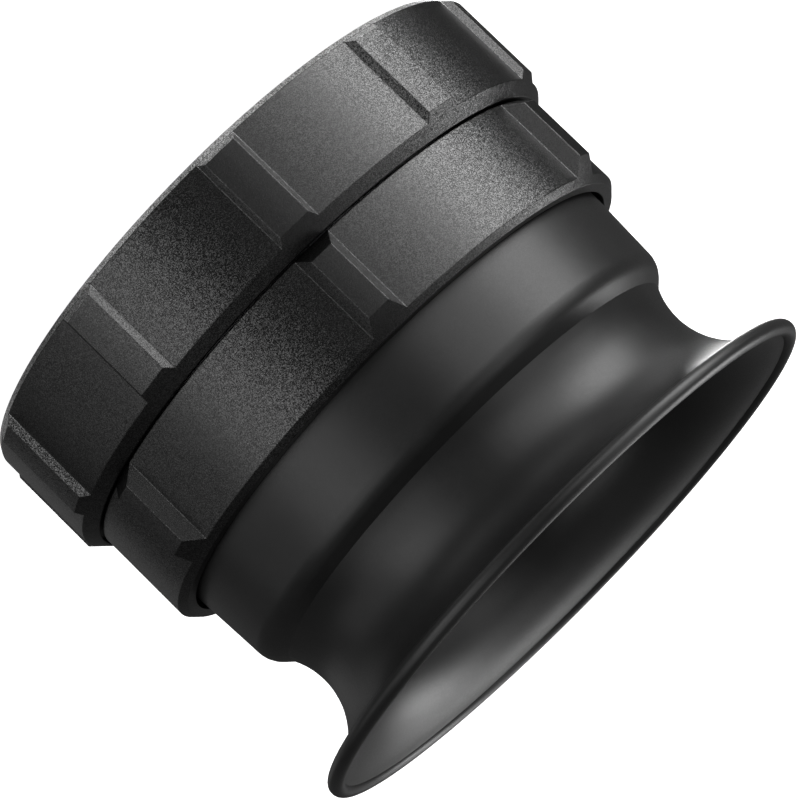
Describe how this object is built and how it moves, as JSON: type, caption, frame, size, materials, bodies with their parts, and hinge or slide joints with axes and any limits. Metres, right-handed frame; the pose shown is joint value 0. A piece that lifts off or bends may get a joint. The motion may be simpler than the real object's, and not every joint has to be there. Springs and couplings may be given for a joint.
{
  "type": "telescope eyepiece",
  "caption": "Telescope eyepiece with a ribbed captive threaded coupling ring, a ribbed turning focus ring, a sliding lens cell and a flared rubber eyecup that pulls up and pushes down.",
  "frame": {"origin": "on the optical axis, in the plane of the coupling ring's rear face", "axes": "+Z along the optical axis to the eye; a rib of each ring points to -Y; +X completes the right-handed frame"},
  "size_m": [0.0584, 0.0588, 0.0434],
  "materials": {
    "ring_black": "black anodised aluminium, fine bead-blasted grain, satin",
    "inner_black": "black anodised aluminium, turned, matte against stray light",
    "eyecup_rubber": "moulded black rubber, smooth, satin",
    "seal_rubber": "black nitrile, matte",
    "slip_polymer": "off-white slippery polymer, matte",
    "spring_steel": "spring steel, fine drawn grain",
    "blackened_steel": "blackened steel, semi-matte",
    "pin_brass": "turned brass, satin",
    "coated_glass": "polished optical glass with a thin green coating"
  },
  "bodies": {
    "housing_body": {"housing": "inner_black", "field_stop": "inner_black", "field_stop_ring": "inner_black", "flange_seal": "seal_rubber", "collar_washer": "slip_polymer", "collar_snap_ring": "spring_steel", "cam_washer": "slip_polymer", "drag_washer": "spring_steel", "eyecup_mount": "inner_black", "mount_ring": "inner_black", "click_spring": "spring_steel"},
    "coupling_body": {"coupling_ring": "ring_black"},
    "focus_body": {"focus_ring": "ring_black", "cam_sleeve": "inner_black", "ring_set_screw": "blackened_steel"},
    "cell_body": {"lens_cell": "inner_black", "guide_pins": "pin_brass", "cell_seal": "seal_rubber", "field_flint": "coated_glass", "field_crown": "coated_glass", "lens_spacer": "inner_black", "eye_crown": "coated_glass", "eye_flint": "coated_glass", "cell_ring": "inner_black"},
    "eyecup_body": {"eyecup_tube": "inner_black", "key_pins": "pin_brass", "rubber_eyecup": "eyecup_rubber"}
  },
  "joints": [
    {"name": "coupling_turn", "type": "hinge", "parent": "housing_body", "child": "coupling_body", "pos_m": [0, 0, 0], "axis": [0, 0, 1], "continuous": true},
    {"name": "focus_turn", "type": "hinge", "parent": "housing_body", "child": "focus_body", "pos_m": [0, 0, 0.0172], "axis": [0, 0, 1], "range_deg": [-25, 25]},
    {"name": "cell_slide", "type": "slide", "parent": "housing_body", "child": "cell_body", "axis": [0, 0, 1], "range_m": [-0.002, 0.002]},
    {"name": "eyecup_slide", "type": "slide", "parent": "housing_body", "child": "eyecup_body", "axis": [0, 0, 1], "range_m": [0, 0.006]}
  ],
  "couplings": [
    {"joint": "cell_slide", "follows": "focus_turn", "m_per_rad": 0.004583}
  ]
}
